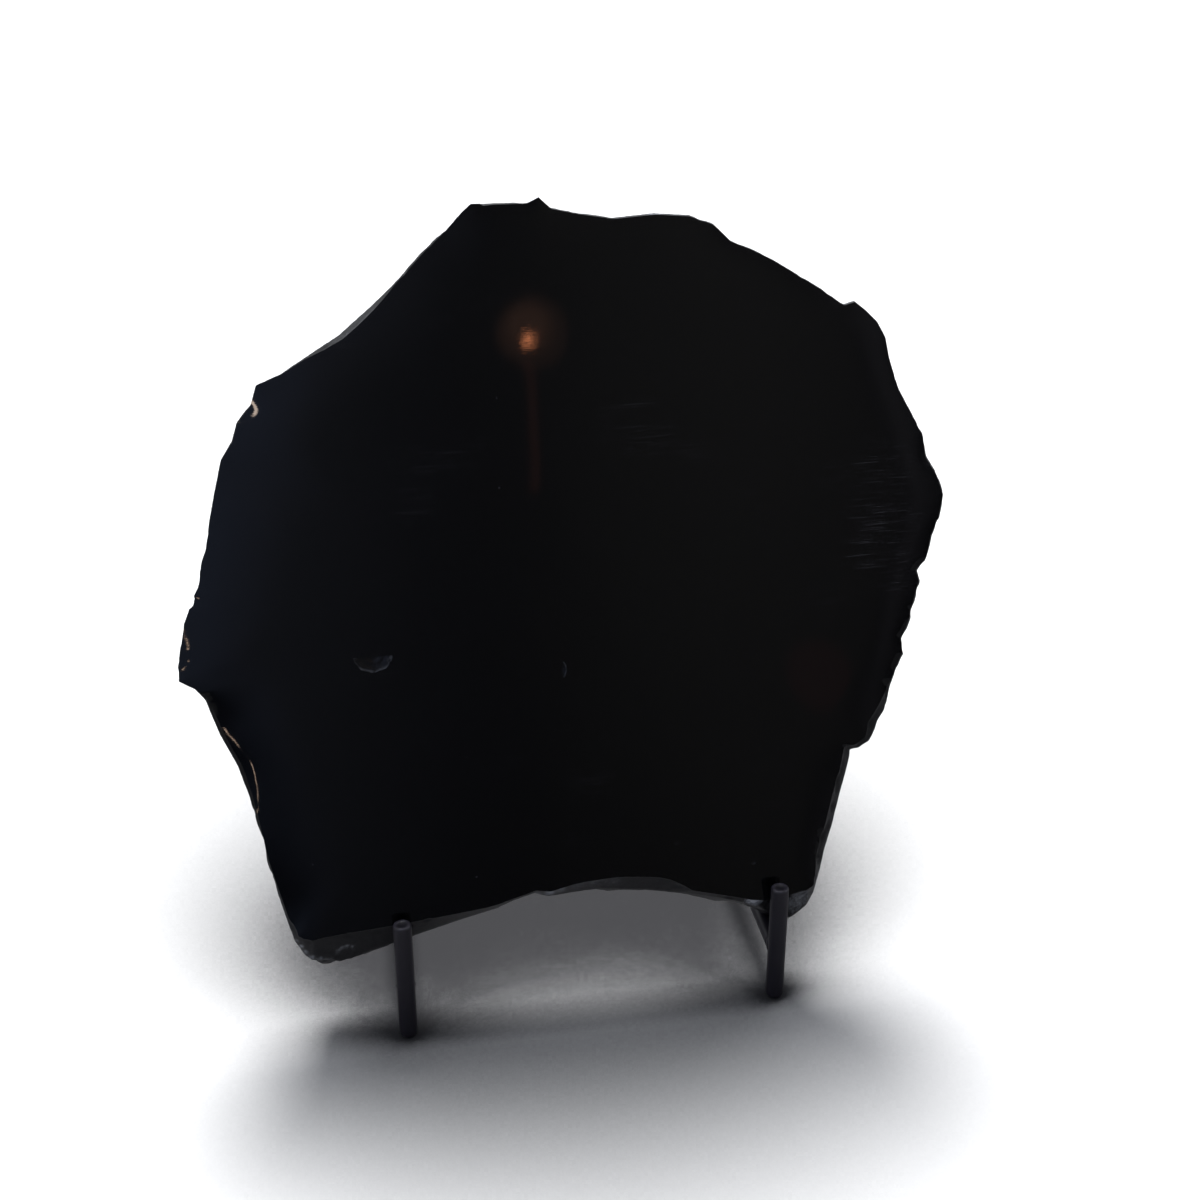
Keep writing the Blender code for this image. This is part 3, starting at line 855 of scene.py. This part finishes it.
def powder_coat():
    material, tree, shader = new_material("powder_coated_steel")
    position = add_node(tree, "TexCoord")
    peel = add_node(tree, "TexNoise", {
        "Vector": position.outputs["Object"], "Scale": 1 / (PEEL_SIZE * MM), "Detail": 2.0})
    cloud = add_node(tree, "TexNoise", {
        "Vector": position.outputs["Object"], "Scale": 90.0, "Detail": 3.0})
    coat = add_node(tree, "Mix", {
        "Factor": cloud, 6: linear("#201E25"), 7: linear("#27252D")}, data_type="RGBA")
    # The pale rim of each top is wear and a painted highlight on the upward-facing rim.
    worn_and_highlit = add_node(tree, "Attribute", attribute_name="worn_and_highlit")
    tint = add_node(tree, "Mix", {
        "Factor": worn_and_highlit.outputs["Fac"], 6: coat, 7: linear("#47444F")}, data_type="RGBA")
    gloss = add_node(tree, "MapRange", {"Value": cloud, "To Min": 0.30, "To Max": 0.46})
    bumped = add_node(tree, "Bump", {"Height": peel, "Strength": 0.35, "Distance": 0.00012})
    give(tree, shader, {"IOR": COAT_IOR, "Roughness": gloss, "Base Color": tint, "Normal": bumped})
    return material


steel = powder_coat()
print(steel.name)

# %% [markdown]
# Each bar of the model is a faceted stand-in for a round one. The finished bar is turned like on
# a lathe: rings along the axis, close together, so that the coat's slow unevenness can be real
# shape. Pegs and legs have a domed foot, as paint gathers there, and a sawn top with a rim that is
# worn and also painted paler as a highlight, and a shallow ring where the coat shrank back from
# the edge.

# %% Turned bars
BAR_SIDES = 44
RING_STEP = 1.2
TOP_ROOM = 0.2
FOOT_ROUNDING = [(0.0, 1.4), (0.10, 1.9), (0.32, 2.4), (0.75, 2.8), (1.3, 3.05), (1.9, 3.175)]
TOP_RIM = [(0.22, 0.0), (0.24, 1.45), (0.06, 1.85), (0.0, 2.45), (0.12, 2.75), (0.38, 3.02), (0.75, 3.175)]
PALE_RIM_WITHIN = 0.2
PALE_RIM_FROM = 1.7
SQUARE_END = [(0.0, 3.0), (0.2, 3.175)]
COAT_SWELL = 0.045
LEAST_RADIUS = 0.05
BAR_RIDGE = 50.0


def bar_profile(length, foot, top):
    """(height, radius) pairs along a bar from its foot to its top."""
    middle = np.arange(foot[-1][0] + RING_STEP, length - top[-1][0] - TOP_ROOM, RING_STEP)
    pairs = list(foot) + [(h, ROD_RADIUS) for h in middle]
    return pairs + [(length - drop, radius) for drop, radius in reversed(top)]


def turned_bar(name, start, end, foot, top):
    """Round bar from start to end in millimetres, as a mesh with a slow unevenness."""
    axis = end - start
    place = Matrix.Translation(start) @ axis.to_track_quat("Z", "Y").to_matrix().to_4x4()
    mesh = bmesh.new()
    worn_and_highlit = mesh.verts.layers.float.new("worn_and_highlit")
    rings = []
    for height, radius in bar_profile(axis.length, foot, top):
        ring = []
        # Painted highlight and wear: the upward-facing rim of a top is marked to be painted paler.
        on_rim = top is TOP_RIM and height > axis.length - PALE_RIM_WITHIN and radius > PALE_RIM_FROM
        for side in range(BAR_SIDES):
            angle = 2 * math.pi * side / BAR_SIDES
            sample = Vector((math.cos(angle), math.sin(angle), height * 0.12)) + start * 0.1
            r = radius + COAT_SWELL * noise.noise(sample * 1.4) * min(1.0, radius / ROD_RADIUS)
            r = max(r, LEAST_RADIUS)
            local = Vector((math.cos(angle) * r, math.sin(angle) * r, height))
            vert = mesh.verts.new((place @ local) * MM)
            round_the_rim = Vector((math.cos(angle), math.sin(angle), 0.0)) * 2.6
            patchy = 0.65 + 0.9 * noise.noise(round_the_rim + start)
            vert[worn_and_highlit] = min(1.0, max(0.0, patchy)) if on_rim else 0.0
            ring.append(vert)
        rings.append(ring)
    close_rings(mesh, rings)
    bar = add_solid(name, mesh, [steel])
    bar.data.set_sharp_from_angle(angle=math.radians(BAR_RIDGE))
    return bar


for name, (start, end) in bars.items():
    upright = name.startswith(("front_peg", "rear_leg"))
    foot = FOOT_ROUNDING if upright else SQUARE_END
    top = TOP_RIM if upright or name.startswith("backrest_upright") else SQUARE_END
    bar = turned_bar(f"bar_{name}", start, end, foot, top)
    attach(bar, "root")
    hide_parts(name)
print(len(bars), "bars turned")

# %% [markdown]
# Welds. Where a bar butts against another, the welder ran a small bead round the joint, and the
# coat rounded it further. A bead is a collar: its inner ring lies on the butting bar a little way
# out, its outer ring on the other bar's surface, and its section is a quarter round, hollow
# outwards. Noise makes it lumpy. The collar also closes the hairline gap that the model keeps
# between bars.

# %% Weld beads
BEAD_REACH = 2.1
BEAD_RINGS = 7
BEAD_SIDES = 40
BEAD_LUMP = 0.35
BEAD_LIMIT = 0.10
BEAD_FLARE = 0.62
BEAD_SINK = 0.15
BEAD_SEARCH = 6.0


def surface_on(through_start, through_end, point, direction):
    """Where a line from a point meets a round bar's surface, or the point if it passes by."""
    axis = (through_end - through_start).normalized()
    offset = point - through_start
    a = direction - axis * direction.dot(axis)
    b = offset - axis * offset.dot(axis)
    qa, qb = a.dot(a), 2 * a.dot(b)
    qc = b.dot(b) - ROD_RADIUS ** 2
    root = qb * qb - 4 * qa * qc
    travel = (-qb - math.sqrt(root)) / (2 * qa) if root >= 0 else 0.0
    return point + direction * travel


def weld_bead(name, butt_end, butt_far, through):
    """Collar round the end of one bar where it meets the side of another."""
    away = (butt_far - butt_end).normalized()
    side = away.orthogonal().normalized()
    other = away.cross(side)
    mesh = bmesh.new()
    rings = []
    for index in range(BEAD_RINGS + 1):
        share = index / BEAD_RINGS
        turn = math.pi / 2 * share
        spread = BEAD_REACH * (1 - math.sin(turn)) * BEAD_FLARE
        lift = BEAD_REACH * (1 - math.cos(turn))
        ring = []
        for step in range(BEAD_SIDES):
            angle = 2 * math.pi * step / BEAD_SIDES
            radial = side * math.cos(angle) + other * math.sin(angle)
            lump = 1.0 + BEAD_LUMP * noise.noise(radial * 2.2 + butt_end * 0.37)
            radius = min(ROD_RADIUS * 0.985 + spread * lump, ROD_RADIUS + BEAD_LIMIT)
            start = butt_end + radial * min(radius, ROD_RADIUS * 0.97) + away * BEAD_SEARCH
            foot = surface_on(*through, start, -away)
            base = butt_end + radial * radius + away * (foot - butt_end).dot(away)
            bump = math.sin(math.pi * min(1.0, share + 0.15)) * 0.10 * lump
            ring.append(mesh.verts.new((base + away * (lift * lump - BEAD_SINK) + radial * bump) * MM))
        rings.append(ring)
    close_rings(mesh, rings)
    bead = add_solid(name, mesh, [steel])
    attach(bead, "root")


for side in ("left", "right"):
    rail = bars[f"side_rail_{side}"]
    upright = bars[f"backrest_upright_{side}"]
    weld_bead(f"weld_front_{side}", rail[0], rail[1], bars[f"front_peg_{side}"])
    weld_bead(f"weld_rear_{side}", rail[1], rail[0], bars[f"rear_leg_{side}"])
    weld_bead(f"weld_upright_{side}", upright[0], upright[1], rail)
for name, part in (("rear_crossbar", "rear_leg"), ("backrest_bar", "backrest_upright")):
    low, high = sorted(bars[name], key=lambda end: end.x)
    weld_bead(f"weld_{name}_left", low, high, bars[f"{part}_left"])
    weld_bead(f"weld_{name}_right", high, low, bars[f"{part}_right"])
print("ten welds")

# %% [markdown]
# The room is a plain one: a pale matt table top that runs out of sight, one large soft lamp high
# up behind the slab, and a dim space in front. That dimness matters most: a black mirror shows
# only what stands before it, so a bright room would turn the stone grey. A white table would
# glare in the broken glass too, so its mirror image is kept dim. Close to the slab the stone also
# hides much of the soft light from the table. Ambient occlusion measures how much of the
# half-dome above a point is free, and by it a painted shade darkens the table's own colour, from
# pale towards dark grey near the stone and under its arch.

# %% Table top
FLOOR_SIZE = 14.0
SHADE_REACH = 0.30
SHADE_FULL = 0.67
SHADE_NONE = 0.95
SHADE_RAYS = 24

floor_mesh = bpy.data.meshes.new("table_top")
corners = [(-1, -1), (1, -1), (1, 1), (-1, 1)]
floor_mesh.from_pydata([(x * FLOOR_SIZE, y * FLOOR_SIZE, 0.0) for x, y in corners], [], [(0, 1, 2, 3)])
floor = add_object("table_top", floor_mesh)
table, tree, table_shader = new_material("pale_matt_table")
free_sky = add_node(tree, "AmbientOcclusion", {"Distance": SHADE_REACH}, samples=SHADE_RAYS)
shade = add_node(tree, "MapRange", {
    "Value": free_sky.outputs["AO"], "From Min": SHADE_FULL, "From Max": SHADE_NONE})
# Painted shade: the table's colour runs from #F2F2F2 down to #404042 where the half-dome is hidden.
painted_table_shade = add_node(tree, "Mix", {
    "Factor": shade, 6: linear("#404042"), 7: linear("#F2F2F2")}, data_type="RGBA")
give(tree, table_shader, {"Roughness": 1.0, "Specular IOR Level": 0.0, "Base Color": painted_table_shade})
dim_table = add_node(tree, "BsdfDiffuse", {"Color": linear("#4C4C4E")})
ray = add_node(tree, "LightPath")
table_mix = add_node(tree, "MixShader", {
    0: ray.outputs["Is Glossy Ray"], 1: table_shader, 2: dim_table})
give(tree, tree.nodes["Material Output"], {"Surface": table_mix})
floor_mesh.materials.append(table)
print("table top", FLOOR_SIZE * 2, "m wide")

# %% [markdown]
# The soft lamp gives the shadow that falls towards the viewer. Its height sets how far the
# shadow reaches, and its softness how gently it ends.

# %% Soft lamp behind the slab
LAMP_HEIGHT_ANGLE = 58.0
LAMP_SOFTNESS = 23.0
LAMP_STRENGTH = 4.7
LAMP_TURN = 8.0

lamp_data = bpy.data.lights.new("soft_lamp", "SUN")
lamp_data.energy = LAMP_STRENGTH
lamp_data.angle = math.radians(LAMP_SOFTNESS)
lamp = add_object("soft_lamp", lamp_data)
lamp.rotation_euler = (math.radians(-(90 - LAMP_HEIGHT_ANGLE)), 0.0, math.radians(LAMP_TURN - CAMERA_TURN))
print("soft lamp", LAMP_HEIGHT_ANGLE, "degrees up")

# %% [markdown]
# A small warm table lamp stands in front, above the viewer's head: a bulb, its shade, and a lit
# stem. A mirror shows a lamp as far behind the glass as it is before it, so its place follows from
# where its image should lie on the face: a sight line from the camera to that spot, bounced off
# the glass like a ball off a wall. The same bounce, off the rolled margin on the left, places
# three small warm lights further to the side. They draw the short glints beside the left edge.
# A shade is brightest in the middle, so it is three glowing balls, one inside the other. Low on
# the right a red cloth catches some of the lamp, and a faint red glow stands for it. None of
# these lights is seen directly from any side.

# %% Mirrored places
MIRROR_DISTANCE = 1200.0

slab_glass = BVHTree.FromPolygons([v.co.copy() for v in slab.data.vertices],
                                  [tuple(p.vertices) for p in slab.data.polygons])


def mirrored_place(u, v):
    """Where a thing stands whose image lies at a point of the slab's front, in millimetres."""
    eye = stand_origin + CAMERA_PLACE
    sight = (slab_to_room(u, v, 0) - eye).normalized()
    place, normal = slab_glass.ray_cast(eye * MM, sight)[:2]
    bounced = sight - 2 * sight.dot(normal) * normal
    return place / MM + bounced * MIRROR_DISTANCE


def warm_light(name, kind, watts, colour, placed):
    """Light of a kind and colour, at a place or a whole matrix, that is never seen directly."""
    data = bpy.data.lights.new(name, kind)
    data.energy = watts
    data.color = linear(colour)[:3]
    light = add_object(name, data)
    light.matrix_world = placed
    light.visible_camera = False
    print(name, "at", tuple(round(c, 2) for c in placed.translation))
    return data


def warm_ball(name, image, radius, watts, colour):
    """Glowing ball whose image lies at a point of the face."""
    placed = Matrix.Translation(mirrored_place(*image) * MM)
    warm_light(name, "POINT", watts, colour, placed).shadow_soft_size = radius * MM


def warm_bar(name, image_from, image_to, wide, radiance, colour):
    """Glowing bar whose image runs from one point of the slab's front to another."""
    start, end = mirrored_place(*image_from), mirrored_place(*image_to)
    middle = (start + end) / 2
    size = wide * MM, (end - start).length * MM
    upward = (end - start).normalized()
    sideways = upward.cross(middle - slab_to_room(*image_from, 0)).normalized()
    turned = Matrix((sideways, upward, sideways.cross(upward))).transposed()
    placed = Matrix.Translation(middle * MM) @ turned.to_4x4()
    data = warm_light(name, "AREA", radiance * math.pi * size[0] * size[1], colour, placed)
    data.shape = "RECTANGLE"
    data.size, data.size_y = size


# %% Warm lamp and glints
warm_ball("warm_bulb", (-9, 200.7), 5, 0.0140, "#FF9A66")
warm_ball("lamp_shade_inner", (-10, 206), 19, 0.0020, "#FFB894")
warm_ball("lamp_shade_middle", (-11, 204), 28, 0.0033, "#FFB894")
warm_ball("lamp_shade_outer", (-10, 203), 38, 0.0056, "#FFB894")
warm_bar("lit_stem", (-10, 194), (-12.8, 149), 9, 0.13, "#FF9A80")
warm_bar("glint_lower_edge", (-117.8, 73), (-110.3, 55.8), 6, 10, "#FFDCC0")
warm_bar("glint_shoulder", (-101.9, 183), (-101.7, 179), 26, 11, "#FFE7D3")
warm_ball("glint_nose", (-130.6, 97.8), 6, 0.014, "#FFD9B8")
warm_ball("red_cloth_inner", (85, 78), 28, 0.0013, "#FF7878")
warm_ball("red_cloth_outer", (85, 78), 40, 0.0027, "#FF7878")
print("warm lights placed", round(MIRROR_DISTANCE), "mm from the glass")

# %% [markdown]
# What the face mirrors is the dim room in front: cooler and brighter far to the left, with
# slow changes across, and brighter towards the ceiling. A ramp across and a range upwards draw
# that. Low on the left it is dark. Behind the slab the room is an even soft grey, and the camera
# sees plain white.

# %% Surroundings
ROOM_ACROSS = [
    # how far to the right, from -1 to 1, and the colour there
    (-0.60, "#7C88A2"), (-0.30, "#6E7A95"), (-0.12, "#666B7C"), (-0.02, "#54575F"),
    (0.07, "#3A3A40"), (0.16, "#545454"), (0.27, "#605F5F"), (0.36, "#434345"),
    (0.50, "#6F6E74"), (0.66, "#3C3C40"), (0.90, "#4A4A4E"),
]

world = bpy.data.worlds.new("studio")
bpy.context.scene.world = world
world.use_nodes = True
sky = world.node_tree
sky.nodes.clear()
direction = add_node(sky, "TexCoord")
parts = add_node(sky, "SeparateXYZ", {"Vector": direction.outputs["Generated"]})
across = add_node(sky, "MapRange", {"Value": parts.outputs["X"], "From Min": -1.0})
room = add_node(sky, "ValToRGB", {"Fac": across})
room.color_ramp.interpolation = "B_SPLINE"
stops = room.color_ramp.elements
stops.remove(stops[1])
for place, colour in ROOM_ACROSS:
    stops.new((place + 1) / 2).color = linear(colour)
stops.remove(stops[0])
print(len(ROOM_ACROSS), "tones across the room")

# %% Light from the room
upwards = add_node(sky, "MapRange", {
    "Value": parts.outputs["Z"], "From Min": 0.04, "From Max": 0.46, "To Min": 0.64, "To Max": 1.25})
low = add_node(sky, "MapRange", {
    "Value": parts.outputs["Z"], "From Min": 0.24, "From Max": 0.0}, interpolation_type="SMOOTHSTEP")
left = add_node(sky, "MapRange", {
    "Value": parts.outputs["X"], "From Min": 0.02, "From Max": -0.24, "To Max": 0.75},
    interpolation_type="SMOOTHSTEP")
low_left = add_node(sky, "Math", {0: low, 1: left}, operation="MULTIPLY")
spared = add_node(sky, "Math", {0: 1.0, 1: low_left}, operation="SUBTRACT")
strength = add_node(sky, "Math", {0: upwards, 1: spared}, operation="MULTIPLY")
front = add_node(sky, "Background", {"Color": room, "Strength": strength})
behind = add_node(sky, "Background", {"Color": linear("#BCBEC2"), "Strength": 1.0})
facing = add_node(sky, "MapRange", {
    "Value": parts.outputs["Y"], "From Min": -0.15, "From Max": -0.65}, interpolation_type="SMOOTHSTEP")
lit = add_node(sky, "MixShader", {0: facing, 1: behind, 2: front})
plain = add_node(sky, "Background", {"Color": linear("#FFFFFF"), "Strength": 1.0})
seen = add_node(sky, "LightPath")
chosen = add_node(sky, "MixShader", {0: seen.outputs["Is Camera Ray"], 1: lit, 2: plain})
add_node(sky, "OutputWorld", {"Surface": chosen})
bpy.context.scene.view_settings.view_transform = "Standard"
print("room ready")
